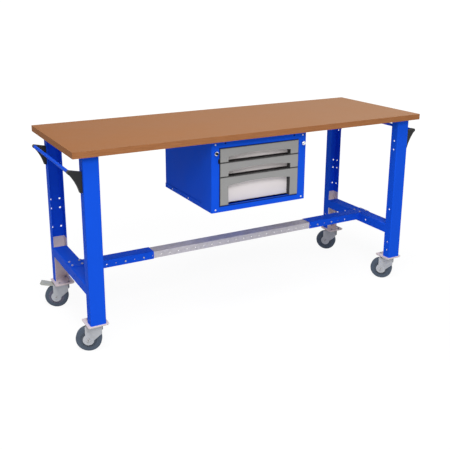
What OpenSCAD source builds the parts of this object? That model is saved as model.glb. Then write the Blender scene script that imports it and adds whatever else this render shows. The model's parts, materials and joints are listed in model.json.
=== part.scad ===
// Mobile workbench: a wooden worktop on four telescopic steel legs with swivel casters,
// joined by side rails and a telescopic stretcher, with push handles at both ends and
// a three-drawer steel cabinet hung under the worktop.
// Frame: +X to the right, +Y to the rear, +Z up, origin on the floor under the middle
// of the worktop.

/* [Worktop] */
// Length of the worktop, left to right
worktop_w = 2000; // [1500:10:2600]
// Depth of the worktop, front to rear
worktop_d = 700; // [640:10:900]
// Thickness of the worktop
worktop_t = 30; // [20:1:50]
// Height of the worktop's upper face above the floor
bench_h = 1000; // [900:5:1150]
// Radius of the worktop's vertical corners
worktop_corner_r = 3; // [1:0.5:12]

/* [Legs] */
// Width of a leg channel, left to right
leg_w = 77; // [60:1:100]
// Depth of a leg channel, front to rear
leg_d = 50; // [40:1:70]
// Sheet thickness of the leg and rail channels
leg_sheet = 2.5; // [1.5:0.5:4]
// Outside bend radius of the channels
bend_r = 6; // [5:0.5:8]
// How far the worktop overhangs the legs at each end
end_overhang = 51.5; // [20:0.5:150]
// How far the legs stand behind the worktop's front and rear edges
edge_setback = 28; // [5:1:60]
// Clearance between two telescoping channels
slide_gap = 0.3; // [0.2:0.1:1]
// Length of an inner leg above its foot plate
inner_leg_h = 239; // [150:1:400]
// Side of the square foot plate
foot_plate = 104; // [98:1:140]
// Thickness of the foot plate
foot_plate_t = 5; // [3:0.5:8]
// How far the foot plate stands out beyond the leg's outer face
foot_plate_lip = 3; // [0:0.5:10]
// Diameter of the accessory holes in the legs and side rails
hole_d = 10; // [6:0.5:12]
// Distance between the holes of a pair in a leg
leg_hole_pitch = 50; // [40:1:60]
// Height of the lowest leg hole above the leg's lower end
leg_hole_start = 44; // [30:1:80]

/* [Rails] */
// Height of a side rail
side_rail_h = 50; // [40:1:80]
// Height of a side rail's upper face above the floor
side_rail_top = 346; // [300:1:500]
// Height of a top rail, under the worktop
top_rail_h = 16; // [12:1:60]

/* [Stretcher] */
// Width of the outer stretcher channel, front to rear
stretcher_w = 76; // [60:1:90]
// Height of the outer stretcher channel
stretcher_h = 41; // [35:1:60]
// Length of the bare middle channel between the two end channels
stretcher_bare = 1000; // [600:10:1300]
// How far the middle channel reaches into each end channel
stretcher_overlap = 240; // [100:10:300]
// Width of the tongue that laps over the side rail
tongue_w = 86; // [70:1:120]
// Diameter of the holes along the stretcher
stretcher_hole_d = 7; // [6.5:0.5:10]
// Pitch of the holes along the stretcher
stretcher_hole_pitch = 50.7; // [40:0.1:60]
// Height of the stretcher holes below its upper face
stretcher_hole_drop = 24; // [18:1:30]

/* [Handles] */
// Outside diameter of the handle tube
handle_d = 16; // [14:1:32]
// Wall thickness of the handle tube
handle_wall = 1.5; // [1:0.5:3]
// Distance from the leg's outer face to the tube's centre
handle_reach = 56; // [40:1:80]
// Distance of the tube's centre below the worktop's upper face
handle_drop = 100; // [70:1:160]
// Thickness of a handle bracket, front to rear
bracket_t = 22; // [20:1:40]
// Height of a handle bracket at the leg
bracket_h = 95; // [70:1:140]
// How far the bracket's upper corner at the leg lies below the tube's centre
bracket_drop = 3; // [0:1:20]
// Depth of the hollow curve in the bracket's lower edge
bracket_sag = 6; // [3:0.5:14]
// Wall of a bracket round the tube's end
bracket_wall = 1.5; // [1:0.5:5]
// Depth of the tube's socket in a bracket
socket_depth = 14; // [8:1:16]

/* [Casters] */
// Diameter of a wheel
wheel_d = 125; // [100:1:127]
// Width of a wheel's tyre
tyre_w = 32; // [26:1:36]
// Diameter of the rim that carries the tyre
rim_d = 84; // [78:1:98]
// Height of a caster from the floor to the top of its mounting plate
caster_h = 145; // [145:1:160]
// How deep the wheel's flat faces lie behind the tyre's sides
rim_recess = 3; // [1:0.5:10]
// How far the two left casters are turned on their swivels
caster_turn_left = -25; // [-180:1:180]
// How far the two right casters are turned on their swivels
caster_turn_right = -50; // [-180:1:180]
// Horizontal distance from the swivel axis to the wheel's axle
caster_trail = 34.5; // [28:0.5:40]
// Diameter of the axle bolt
axle_d = 10; // [8:0.5:14]
// Running clearance of the axle and the king pin, on the radius
running_gap = 0.05; // [0.02:0.01:0.1]
// Sheet thickness of the caster fork
fork_sheet = 4; // [3:0.5:5]
// Step between a cheek's raised strap and the web beside it
strap_step = 1.2; // [0.5:0.1:2]
// Clear width between the fork's cheeks
fork_gap = 42; // [40:1:50]
// Diameter of the swivel race
race_d = 66; // [50:1:67]
// Gap between the swivel race and the fork's crown
race_gap = 0.3; // [0.2:0.1:1]
// Diameter of the king pin
king_pin_d = 16; // [12:1:20]
// Thickness of the caster's mounting plate
caster_plate_t = 4; // [3:0.5:5]
// Diameter of the plate and stretcher bolts
bolt_d = 6; // [5:0.5:6.5]

/* [Cabinet] */
// Width of the cabinet
cabinet_w = 556; // [480:2:700]
// Depth of the cabinet
cabinet_d = 550; // [500:5:600]
// Height of the cabinet
cabinet_h = 365; // [330:5:500]
// How far the cabinet's middle lies to the left of the bench's middle
cabinet_shift = 25; // [0:5:300]
// How far the cabinet's front lies behind the worktop's front edge
cabinet_setback = 37; // [10:1:80]
// Sheet thickness of the cabinet
cabinet_sheet = 2; // [1:0.5:3]
// Width of the front frame's side posts
post_w = 45; // [40:1:80]
// Height of the front frame's lower member
sill_h = 31; // [25:1:60]
// Height of the front frame's upper member
head_h = 41; // [30:1:80]
// Depth of the front frame's outer flange
front_flange = 112; // [60:1:160]
// Height of the floor tray's upstand
tray_upstand = 24; // [18:1:40]
// Step between the overlapping cabinet skins
skin_step = 1; // [0.5:0.5:2]

/* [Drawers] */
// Gap round a drawer front
front_gap = 2.5; // [1.5:0.5:5]
// Depth of a drawer front moulding
fascia_d = 30; // [24:1:45]
// Wall thickness of a drawer front moulding
fascia_wall = 3; // [2:0.5:4]
// Width of the pillars at both sides of the grip opening
pillar_w = 47; // [30:1:80]
// Depth of the lip over the grip opening, at its middle
lip_h = 33; // [26:1:45]
// Rise of the grip opening's arch
arch_rise = 12; // [4:1:20]
// Height of the slot under the drawer box
slot_h = 4; // [2:0.5:14]
// Room between a drawer box and the top of its front
box_top_room = 10; // [6:1:14]
// Sheet thickness of a drawer box
box_sheet = 1.5; // [1:0.5:2.5]
// Length of a drawer box, front to rear
box_d = 500; // [400:5:510]
// Width taken by one slide at each side of a drawer box
slide_w = 12.5; // [10:0.5:16]
// Height of a slide
slide_h = 36; // [28:1:42]
// Length of a slide
slide_l = 470; // [380:5:490]

/* [Locks] */
// Diameter of a lock barrel
lock_d = 21; // [18:1:24]
// How far a lock barrel stands out of the front frame
lock_l = 13; // [8:1:20]
// Diameter of a lock's knob
knob_d = 13; // [8:1:17]
// Length of a lock's knob
knob_l = 6; // [4:1:14]

/* [Hidden] */
$fn = 48;
eps = 0.01;
blue = [0.10, 0.33, 0.88];
galvanised = [0.74, 0.72, 0.74];
board_z = bench_h - worktop_t;

// Legs
leg_x = worktop_w / 2 - end_overhang - leg_w / 2;
leg_face_x = worktop_w / 2 - end_overhang;
leg_face_y = worktop_d / 2 - edge_setback;
leg_mid_y = leg_face_y - leg_d / 2;
leg_tip_y = leg_face_y - leg_d;
foot_top = caster_h + foot_plate_t;
leg_h = board_z - foot_top;
inner_w = leg_w - 2 * (leg_sheet + slide_gap);
inner_d = leg_d - leg_sheet - slide_gap;
inner_r = bend_r - leg_sheet;
foot_y = leg_face_y + foot_plate_lip - foot_plate / 2;
// Heights of the holes in a leg, as numbers of pitches above the lowest hole
front_hole_steps = [0, 1, 5, 12.1, 13.1];
rear_hole_steps = [0, 1, 5, 7.1, 8.1, 12.1, 13.1];
web_hole_steps = [1, 5, 7.1, 8.1];
web_hole_x = leg_w / 2 - 14;
rail_l = 2 * leg_tip_y;

// Stretcher
stretcher_top = side_rail_top + leg_sheet;
rail_inner_x = leg_face_x - leg_w;
end_l = rail_inner_x - stretcher_bare / 2;
middle_w = stretcher_w - 2 * (leg_sheet + slide_gap);
middle_top = stretcher_top - leg_sheet - slide_gap;
middle_h = stretcher_h - leg_sheet - slide_gap - 1.5;
middle_l = stretcher_bare + 2 * stretcher_overlap;
end_holes = floor((end_l - 60) / stretcher_hole_pitch);
middle_holes = 2 * floor((stretcher_bare / 2 - 20) / stretcher_hole_pitch) + 1;
first_end_hole = (middle_holes + 1) / 2 * stretcher_hole_pitch;
seat_gap = 0.3;
tongue_inset = 2;
tongue_bolt_x = leg_w / 2 - 13;
tongue_bolt_y = tongue_w / 2 - 18;
lock_bolt_steps = [1, 3];
head_d = 1.85 * bolt_d;
head_t = 0.65 * bolt_d;
nut_t = 0.85 * bolt_d;
low_head_d = 1.5 * bolt_d;
low_head_t = 2.5;
bolt_play = 0.6;
fit_play = 0.04;
screw_d = 5;
screw_grip = 20;
screw_hole_d = screw_d + 1.5;
screw_head_d = 11;
screw_head_t = 3;

// Handles: a bracket's side view has the tube's centre at its origin's height
handle_z = bench_h - handle_drop;
tip_r = handle_d / 2 + bracket_wall;
tube_l = 2 * (leg_mid_y - bracket_t / 2 + socket_depth);
bracket_foot_w = 12;

// Casters
wheel_r = wheel_d / 2;
rim_w = tyre_w + 4;
hub_r = 14;
band_t = 4;
axle_head_t = 5;
fork_bend = fork_sheet + 4;
race_top = caster_h - caster_plate_t;
race_t = 7;
caster_plate_side = foot_plate - 4;
crown_top = race_top - race_t - race_gap;
fork_w = fork_gap + 2 * fork_sheet;
ear_r = 27;
fork_front = 31.5;
strap_back = 14.5;
strap_front = 14;
cheek_drop = 38;
pin_top = caster_h - 1;
crown_rear = race_d / 2 - 1;
// Bolt pattern of the mounting plate: the nuts sit inside the leg channel
plate_hole_x = inner_w / 2 - leg_sheet - head_d / 2 - 0.8;
plate_hole_y = foot_plate / 2 - foot_plate_lip - 2 * leg_sheet - slide_gap - head_d / 2 - 3;
pedal_x = -caster_trail - 11.5;
pedal_z = crown_top - 4.5;
pedal_w = fork_gap - 4;
pedal_l = 72;
pedal_tilt = 10.8;
pivot_d = 4;

// Cabinet, in the bench's frame
cab_x = -cabinet_shift;
cab_y0 = -worktop_d / 2 + cabinet_setback;
cab_y1 = cab_y0 + cabinet_d;
cab_z0 = board_z - cabinet_h;
skin_w = cabinet_w - 2 * (cabinet_sheet + skin_step);
skin_z0 = cab_z0 + cabinet_sheet;
open_w = cabinet_w - 2 * post_w;
open_z0 = cab_z0 + sill_h;
open_h = cabinet_h - sill_h - head_h;
return_d = 16;
shell_lap = 24;
shell_y0 = cab_y0 + shell_lap;

// Drawers: the opening is shared as one, one and two units from the top down
unit_h = open_h / 4;
slots = [[3, 1], [2, 1], [0, 2]];
fascia_w = open_w - 2 * front_gap;
box_w = fascia_w - 2 * (slide_w + 3);
grip_w = fascia_w - 2 * pillar_w;
arch_r = arc_radius(grip_w, arch_rise);
box_y0 = cab_y0 + fascia_d;
slide_y0 = box_y0 + 8;
member_t = 1.5;
slide_play = 0.4;
fixed_w = slide_w - 2.5;
upright_x = box_w / 2 + slide_w;
upright_w = skin_w / 2 - cabinet_sheet - upright_x;
upright_d = 30;
upright_ys = [slide_y0 + 12, slide_y0 + slide_l - 12 - upright_d];

// Locks
lock_x = (cabinet_w - post_w) / 2;
lock_z = open_z0 + open_h - 20;
cam_l = post_w / 2 - cabinet_sheet - 3.5;
knob_gap = 0.3;
spindle_d = 6;
spindle_reach = 14;
cam_t = 3;

// ---------- shared shapes ----------

// A rectangle centred on the origin with round corners
module rounded_square(w, h, r) {
    square([w - 2 * r, h], center = true);
    square([w, h - 2 * r], center = true);
    for (x = [-1, 1], y = [-1, 1]) translate([x * (w / 2 - r), y * (h / 2 - r)]) circle(r);
}

// The outside of a folded channel: web along y = 0 with two bent corners
module folded_outline(w, d, r) {
    translate([-w / 2, r]) square([w, d - r]);
    translate([r - w / 2, 0]) square([w - 2 * r, d]);
    for (s = [-1, 1]) translate([s * (w / 2 - r), r]) circle(r);
}

// Section of a folded sheet channel: web along y = 0, flanges towards +y
module channel_section(w, d, t, r) {
    difference() {
        folded_outline(w, d, r);
        translate([0, t]) folded_outline(w - 2 * t, d, max(r - t, 0.5));
    }
}

// Channel standing up, web to the front
module channel_up(l, w, d, t, r) linear_extrude(l) channel_section(w, d, t, r);

// Channel along +Y with its web on top at z = 0
module channel_y(l, w, d, t, r) rotate([-90, 0, 0]) linear_extrude(l) channel_section(w, d, t, r);

// Channel along +X with its web on top at z = 0
module channel_x(l, w, d, t, r) rotate([0, 0, -90]) channel_y(l, w, d, t, r);

// A shape drawn for the front left corner, moved to another corner
module at_corner(sx, sy) mirror([max(sx, 0), 0, 0]) mirror([0, max(sy, 0), 0]) children();

// A plate drawn in the x-z plane, from y = 0 back to y = t
module extrude_y(t) translate([0, t, 0]) rotate([90, 0, 0]) linear_extrude(t) children();

// A hole or shank along X, centred on the given point
module rod_x(p, d, l) translate(p) rotate([0, 90, 0]) cylinder(d = d, h = l, center = true);

// A hole or shank along Y, centred on the given point
module rod_y(p, d, l) translate(p) rotate([90, 0, 0]) cylinder(d = d, h = l, center = true);

// Radius of a circle with the given chord and sagitta
function arc_radius(chord, sag) = (chord * chord / 4 + sag * sag) / (2 * sag);

// ---------- worktop ----------

module worktop() {
    color([0.67, 0.49, 0.36]) difference() {
        translate([0, 0, board_z])
            linear_extrude(worktop_t) rounded_square(worktop_w, worktop_d, worktop_corner_r);
        for (sx = [-1, 1]) at_corner(sx, -1) for (p = top_screw_points())
            translate([p[0], p[1], board_z - 1]) cylinder(d = screw_d + fit_play, h = screw_grip + 1.1);
    }
}

// ---------- legs ----------

function leg_hole_zs(steps) = [for (s = steps) foot_top + leg_hole_start + s * leg_hole_pitch];

module leg(sx, sy) {
    color(blue) at_corner(sx, sy) difference() {
        translate([-leg_x, -leg_face_y, foot_top]) channel_up(leg_h, leg_w, leg_d, leg_sheet, bend_r);
        for (z = leg_hole_zs(sy < 0 ? front_hole_steps : rear_hole_steps))
            rod_x([-leg_x, -leg_mid_y, z], hole_d, leg_w + 2);
        if (sy > 0) for (z = leg_hole_zs(web_hole_steps), s = [-1, 1])
            rod_y([-leg_x + s * web_hole_x, -leg_face_y, z], hole_d, 4 * leg_sheet);
    }
}

module inner_leg(sx, sy) {
    color(galvanised) at_corner(sx, sy) difference() {
        union() {
            translate([-leg_x, leg_sheet + slide_gap - leg_face_y, foot_top - eps])
                channel_up(inner_leg_h + eps, inner_w, inner_d, leg_sheet, inner_r);
            translate([-leg_x, -foot_y, caster_h]) linear_extrude(foot_plate_t)
                rounded_square(foot_plate, foot_plate, 6);
        }
        for (z = leg_hole_zs([0, 1, 2, 3])) rod_x([-leg_x, -leg_mid_y, z], hole_d, leg_w + 2);
        for (p = plate_hole_points()) translate([p[0] - leg_x, p[1] - foot_y, caster_h - 1])
            cylinder(d = bolt_d + 1, h = foot_plate_t + 2);
    }
}

// ---------- rails ----------

module side_rail(sx) {
    color(blue) at_corner(sx, -1) difference() {
        translate([-leg_x, -leg_tip_y, side_rail_top])
            channel_y(rail_l, leg_w, side_rail_h, leg_sheet, bend_r);
        for (p = tongue_bolt_points()) translate([p[0], p[1], side_rail_top - 2 * leg_sheet])
            cylinder(d = bolt_d + bolt_play, h = 4 * leg_sheet);
        for (y = [-1, 1]) rod_x([-leg_x, y * rail_l * 0.18, side_rail_top - side_rail_h / 2],
                                hole_d, leg_w + 2);
    }
}

module top_rail(sx) {
    color(blue) at_corner(sx, -1) difference() {
        translate([-leg_x, -leg_tip_y, board_z]) channel_y(rail_l, leg_w, top_rail_h, leg_sheet, bend_r);
        for (p = top_screw_points()) translate([p[0], p[1], board_z - 2 * leg_sheet])
            cylinder(d = screw_hole_d, h = 4 * leg_sheet);
    }
}

function tongue_bolt_points() =
    [for (x = [-1, 1], y = [-1, 1]) [-leg_x + x * tongue_bolt_x, y * tongue_bolt_y]];
function top_screw_points() =
    [for (x = [-1, 1], y = [-1, 1]) [-leg_x + x * leg_w / 4, y * rail_l * 0.36]];

// ---------- stretcher ----------

module stretcher_holes(xs) {
    for (x = xs)
        rod_y([x, 0, stretcher_top - stretcher_hole_drop], stretcher_hole_d, stretcher_w + 4);
}

function end_hole_xs() = [for (i = [0 : end_holes - 1]) -(first_end_hole + i * stretcher_hole_pitch)];
function middle_hole_xs() =
    [for (i = [0 : middle_holes - 1]) (i - (middle_holes - 1) / 2) * stretcher_hole_pitch];

module stretcher_end(sx) {
    color(blue) at_corner(sx, -1) difference() {
        union() {
            translate([seat_gap - rail_inner_x, 0, stretcher_top])
                channel_x(end_l - seat_gap, stretcher_w, stretcher_h, leg_sheet, bend_r);
            translate([tongue_inset - leg_face_x, -tongue_w / 2, side_rail_top])
                cube([leg_w, tongue_w, leg_sheet]);
        }
        for (p = tongue_bolt_points()) translate([p[0], p[1], side_rail_top - leg_sheet])
            cylinder(d = bolt_d + bolt_play, h = 4 * leg_sheet);
        stretcher_holes(end_hole_xs());
    }
}

module stretcher_middle() {
    color(galvanised) difference() {
        translate([-middle_l / 2, 0, middle_top])
            channel_x(middle_l, middle_w, middle_h, leg_sheet, inner_r);
        stretcher_holes(middle_hole_xs());
        for (s = [-1, 1]) stretcher_holes([for (i = lock_bolt_steps) s * end_hole_xs()[i]]);
    }
}

// ---------- push handles ----------

module handle_tube(sx) {
    color([0.13, 0.36, 0.92]) at_corner(sx, -1) difference() {
        rod_y([-leg_face_x - handle_reach, 0, handle_z], handle_d, tube_l);
        rod_y([-leg_face_x - handle_reach, 0, handle_z], handle_d - 2 * handle_wall, tube_l + 2);
    }
}

// Point where the line from p over the top of a circle round c touches that circle
function touch_point(p, c, r) =
    let (away = c - p, far = norm(away), turn = atan2(away[1], away[0]) + asin(r / far))
    p + sqrt(far * far - r * r) * [cos(turn), sin(turn)];

// Side view of a bracket: u is the distance out from the leg, v the height over the tube
module bracket_profile() {
    root = [0, -bracket_drop];
    tip = [handle_reach, 0];
    foot = [bracket_foot_w, -bracket_drop - bracket_h];
    neck = tip + 0.8 * tip_r * [cos(60), -sin(60)];
    chord = neck - foot;
    out = [chord[1], -chord[0]] / norm(chord);
    r = arc_radius(norm(chord), bracket_sag);
    difference() {
        polygon([root, touch_point(root, tip, 0.97 * tip_r), tip, neck + bracket_sag * out,
                 foot + [bracket_sag, 0], [0, foot[1]]]);
        translate((neck + foot) / 2 + out * (r - bracket_sag)) circle(r);
    }
    translate(tip) circle(tip_r);
}

module bracket(sy) {
    mirror([0, max(sy, 0), 0]) difference() {
        translate([-leg_face_x, -leg_mid_y - bracket_t / 2, handle_z]) mirror([1, 0, 0])
            extrude_y(bracket_t) bracket_profile();
        translate([-leg_face_x - handle_reach, -leg_mid_y + bracket_t / 2 - socket_depth, handle_z])
            rotate([-90, 0, 0]) cylinder(d = handle_d + 0.1, h = socket_depth + 1);
    }
}

module handle_brackets(sx) {
    color([0.13, 0.13, 0.13]) at_corner(sx, -1) for (sy = [-1, 1]) bracket(sy);
}

// ---------- casters, drawn round their swivel axis with the wheel trailing to -X ----------

function plate_hole_points() = [for (x = [-1, 1], y = [-1, 1]) [x * plate_hole_x, y * plate_hole_y]];

module at_caster(sx, sy) translate([sx * leg_x, sy * foot_y, 0]) children();

// The same place, turned with the swivel
module at_swivel(sx, sy)
    at_caster(sx, sy) rotate([0, 0, sx < 0 ? caster_turn_left : caster_turn_right]) children();

module caster_plate(sx, sy) {
    color([0.80, 0.77, 0.77]) at_caster(sx, sy) difference() {
        union() {
            translate([0, 0, race_top]) linear_extrude(caster_plate_t)
                rounded_square(caster_plate_side, caster_plate_side, 8);
            translate([0, 0, race_top - race_t]) rotate_extrude() polygon([
                [0, 0], [race_d / 2 - 4, 0], [race_d / 2, 3], [race_d / 2, race_t + eps],
                [0, race_t + eps]]);
        }
        translate([0, 0, race_top - race_t - 1])
            cylinder(d = king_pin_d + 2 * running_gap, h = race_t + caster_plate_t + 2);
        for (p = plate_hole_points()) translate([p[0], p[1], race_top - 1])
            cylinder(d = bolt_d + 1, h = caster_plate_t + 2);
    }
}

// Side view of the fork: x from the axle towards the swivel axis, y up from the axle
module cheek_profile() {
    top = crown_top - wheel_r;
    front = caster_trail + fork_front;
    polygon([
        [-strap_back, 0], [-strap_back, top], [front, top], [front, top - cheek_drop],
        [ear_r * cos(4), -ear_r * sin(4)], [0, 0]]);
    circle(ear_r);
}

// Side view of the web beside the raised strap, which runs from the crown down to the ear
module cheek_web() {
    difference() {
        translate([strap_front, -ear_r])
            square([caster_trail + fork_front, crown_top - wheel_r + ear_r - 2 * fork_bend]);
        circle(ear_r);
    }
}

module fork(sx, sy) {
    color([0.66, 0.67, 0.68]) at_swivel(sx, sy) difference() {
        union() {
            intersection() {
                translate([-2 * wheel_r, 0, crown_top])
                    channel_x(4 * wheel_r, fork_w, wheel_d + ear_r, fork_sheet, fork_bend);
                translate([-caster_trail, -fork_w, wheel_r]) extrude_y(2 * fork_w) cheek_profile();
            }
            translate([0, 0, crown_top - fork_sheet]) cylinder(r = crown_rear, h = fork_sheet);
            translate([0, 0, crown_top - fork_sheet])
                cylinder(d = king_pin_d, h = pin_top - crown_top + fork_sheet);
        }
        rod_y([-caster_trail, 0, wheel_r], axle_d + fit_play, fork_w + 2);
        translate([-2 * wheel_r - crown_rear, -fork_gap / 2, crown_top - 2 * fork_sheet])
            cube([2 * wheel_r, fork_gap, 3 * fork_sheet]);
        for (y = [-fork_w / 2 - strap_step, fork_w / 2 - strap_step])
            translate([-caster_trail, y, wheel_r]) extrude_y(2 * strap_step) cheek_web();
    }
    if (sx < 0 && sy > 0) color([0.66, 0.67, 0.68]) at_swivel(sx, sy)
        rod_y([pedal_x, 0, pedal_z], pivot_d, fork_gap + 2 * eps);
}

module axle(sx, sy) {
    color([0.62, 0.63, 0.65]) at_swivel(sx, sy) translate([-caster_trail, 0, wheel_r]) {
        rod_y([0, 0, 0], axle_d, fork_w + 2 * axle_head_t);
        for (s = [-1, 1]) translate([0, s * (fork_w + axle_head_t) / 2, 0]) rotate([90, 0, 0])
            cylinder(d = 1.75 * axle_d, h = axle_head_t, center = true, $fn = 6);
    }
}

// The rim, turned round the axle: hub, the flat body and the band under the tyre
module rim(sx, sy) {
    bore = axle_d / 2 + running_gap;
    band = rim_d / 2;
    body_w = tyre_w - 2 * rim_recess;
    color([0.33, 0.37, 0.43]) at_swivel(sx, sy) translate([-caster_trail, 0, wheel_r])
        rotate([90, 0, 0]) rotate_extrude($fn = 64) {
            translate([bore, -rim_w / 2]) square([hub_r - bore, rim_w]);
            translate([hub_r - 1, -body_w / 2]) square([band - hub_r - band_t + 2, body_w]);
            translate([band - band_t, -tyre_w / 2]) square([band_t, tyre_w]);
        }
}

module tyre(sx, sy) {
    shoulder = 6;
    depth = wheel_r - rim_d / 2;
    color([0.31, 0.35, 0.41]) at_swivel(sx, sy) translate([-caster_trail, 0, wheel_r])
        rotate([90, 0, 0]) rotate_extrude($fn = 64) {
            translate([rim_d / 2, -tyre_w / 2]) square([depth - shoulder, tyre_w]);
            translate([rim_d / 2, shoulder - tyre_w / 2]) square([depth, tyre_w - 2 * shoulder]);
            for (s = [-1, 1]) translate([wheel_r - shoulder, s * (tyre_w / 2 - shoulder)]) circle(shoulder);
        }
}

// ---------- brake pedal of the rear left caster ----------

// Side view of the pedal round its pivot, before it is tilted up to its free position
module pedal_outline(inset) {
    below = inset > 0 ? -5 : 0;
    polygon([
        [-4 - inset, 4 - inset], [-pedal_l + inset, 4 - inset], [-pedal_l - 3 + inset, -5],
        [-pedal_l + 8, below - 10], [-26, below - 8], [-4 - inset, 2 * below - 4]]);
}

module brake_pedal() {
    sheet = 2.5;
    color([0.55, 0.57, 0.54]) at_swivel(-1, 1) translate([pedal_x, 0, pedal_z])
        rotate([0, pedal_tilt, 0]) difference() {
            union() {
                difference() {
                    translate([0, -pedal_w / 2, 0]) extrude_y(pedal_w) pedal_outline(0);
                    translate([0, -pedal_w / 2 + sheet, 0]) extrude_y(pedal_w - 2 * sheet)
                        pedal_outline(sheet);
                }
                rod_y([0, 0, 0], 8, pedal_w);
                translate([-6, -pedal_w / 2, 0]) cube([4, pedal_w, 4]);
                translate([-16, -tyre_w / 2, -7.2]) cube([8, tyre_w, 10.2]);
            }
            rod_y([0, 0, 0], pivot_d + 2 * running_gap, pedal_w + 2);
        }
}

// ---------- cabinet ----------

module at_cabinet() translate([cab_x, 0, 0]) children();

// A box centred on x, given its width, front, depth, foot and height
module block(w, y, d, z, h) translate([-w / 2, y, z]) cube([w, d, h]);

module cabinet_shell() {
    color([0.08, 0.27, 0.72]) at_cabinet() difference() {
        block(skin_w, shell_y0, cab_y1 - shell_y0, skin_z0, board_z - skin_z0);
        block(skin_w - 2 * cabinet_sheet, shell_y0 - 1, cab_y1 - shell_y0 + 1 - cabinet_sheet,
              skin_z0 - 1, board_z - skin_z0 + 1 - cabinet_sheet);
    }
}

module cabinet_floor() {
    y0 = cab_y0 + front_flange;
    d = cab_y1 - y0;
    color(blue) at_cabinet() difference() {
        block(cabinet_w, y0, d, cab_z0, tray_upstand);
        block(cabinet_w - 2 * cabinet_sheet, y0 - 1, d + 2, cab_z0 + cabinet_sheet, tray_upstand);
    }
}

module front_frame() {
    color([0.10, 0.35, 0.90]) at_cabinet() difference() {
        union() {
            translate([0, cab_y0, cab_z0])
                channel_up(cabinet_h, cabinet_w, front_flange, cabinet_sheet, cabinet_sheet + 2);
            block(cabinet_w - 2 * cabinet_sheet, cab_y0 + cabinet_sheet,
                  front_flange - cabinet_sheet, cab_z0, cabinet_sheet);
            block(open_w + 2 * cabinet_sheet, cab_y0, return_d,
                  open_z0 - cabinet_sheet, open_h + 2 * cabinet_sheet);
        }
        block(open_w, cab_y0 - 1, return_d + 2, open_z0, open_h);
        for (s = [-1, 1]) rod_y([s * lock_x, cab_y0, lock_z], lock_d - 4, 4 * cabinet_sheet);
    }
}

// Channels that carry the slides, open towards the cabinet's side walls
module cabinet_uprights() {
    z0 = cab_z0 + cabinet_sheet;
    h = cabinet_h - 2 * cabinet_sheet;
    color([0.08, 0.27, 0.72]) at_cabinet() for (s = [0, 1], y = upright_ys)
        mirror([s, 0, 0]) translate([upright_x, y, z0]) difference() {
            cube([upright_w, upright_d, h]);
            translate([member_t, member_t, -1]) cube([upright_w, upright_d - 2 * member_t, h + 2]);
        }
}

// ---------- drawers, numbered from the top ----------

function slot_z(i) = open_z0 + slots[i][0] * unit_h;
function slot_height(i) = slots[i][1] * unit_h;
function front_z(i) = slot_z(i) + front_gap / 2;
function front_h(i) = slot_height(i) - front_gap;
function box_z(i) = front_z(i) + slot_h;
function box_h(i) = front_h(i) - slot_h - box_top_room;
function slide_z(i) = box_z(i) + min(box_h(i) / 2, 40);

// Slide member on both sides: web at |x| = web_x, flanges of width w towards dir
module slide_pair(web_x, dir, w, h, i) {
    for (s = [0, 1]) mirror([s, 0, 0])
        translate([web_x - (dir < 0 ? w : 0), slide_y0, slide_z(i) - h / 2]) difference() {
            cube([w, slide_l, h]);
            translate([dir * member_t, -1, member_t]) cube([w, slide_l + 2, h - 2 * member_t]);
        }
}

module slides_fixed() {
    color([0.80, 0.80, 0.80]) at_cabinet() for (i = [0 : 2])
        slide_pair(upright_x, -1, fixed_w, slide_h, i);
}

module drawer_slides(i) {
    color([0.84, 0.84, 0.84]) at_cabinet()
        slide_pair(box_w / 2, 1, fixed_w, slide_h - 2 * (member_t + slide_play), i);
}

module drawer_box(i) {
    color([0.80, 0.78, 0.77]) at_cabinet() difference() {
        block(box_w, box_y0, box_d, box_z(i), box_h(i));
        block(box_w - 2 * box_sheet, box_y0 + box_sheet, box_d - 2 * box_sheet,
              box_z(i) + box_sheet, box_h(i));
    }
}

// Front view of the grip opening, grown by a wall; z = 0 at the foot of the drawer front
module grip_outline(h, grow) {
    intersection() {
        translate([-grip_w / 2 - grow, -1]) square([grip_w + 2 * grow, h - lip_h + grow + 1]);
        translate([0, h - lip_h - arch_r]) circle(arch_r + grow, $fn = 360);
    }
}

// A hollow moulding: an arched hood over the grip opening, on two pillars
module drawer_front(i) {
    h = front_h(i);
    wall = fascia_wall;
    color([0.58, 0.58, 0.57]) at_cabinet() translate([0, cab_y0, front_z(i)]) difference() {
        extrude_y(fascia_d) difference() {
            translate([0, h / 2]) rounded_square(fascia_w, h, 1.5);
            grip_outline(h, 0);
        }
        translate([0, wall, 0]) extrude_y(fascia_d) difference() {
            translate([0, h / 2]) square([fascia_w - 2 * wall, h - 2 * wall], center = true);
            grip_outline(h, wall);
            for (k = [-2 : 2]) translate([k * grip_w / 6 - wall / 2, 0]) square([wall, h]);
        }
    }
}

// ---------- locks ----------

module lock_barrels() {
    color([0.80, 0.80, 0.82]) at_cabinet() for (s = [-1, 1]) difference() {
        translate([s * lock_x, 0, lock_z]) {
            rod_y([0, cab_y0 - lock_l / 2, 0], lock_d, lock_l);
            rod_y([0, cab_y0 + 5, 0], lock_d - 4.04, 10 + 2 * eps);
        }
        rod_y([s * lock_x, cab_y0, lock_z], spindle_d + 2 * running_gap, 4 * lock_l);
    }
}

module lock_knob(s) {
    face = cab_y0 - lock_l - knob_gap;
    color([0.10, 0.10, 0.10]) at_cabinet() translate([s * lock_x, 0, lock_z]) {
        rod_y([0, face - knob_l / 2, 0], knob_d, knob_l);
        rod_y([0, (face + cab_y0 + spindle_reach) / 2, 0], spindle_d,
              cab_y0 + spindle_reach - face + 2 * eps);
        translate([-5, cab_y0 + spindle_reach - cam_t, -cam_l]) cube([10, cam_t, cam_l + 5]);
    }
}

// ---------- fasteners ----------

module bolt(l) {
    translate([0, 0, -l]) cylinder(d = bolt_d, h = l + eps);
    cylinder(d = head_d, h = head_t, $fn = 6);
}

module low_bolt(l) {
    translate([0, 0, -l]) cylinder(d = bolt_d, h = l + eps);
    cylinder(d = low_head_d, h = low_head_t);
}

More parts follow.
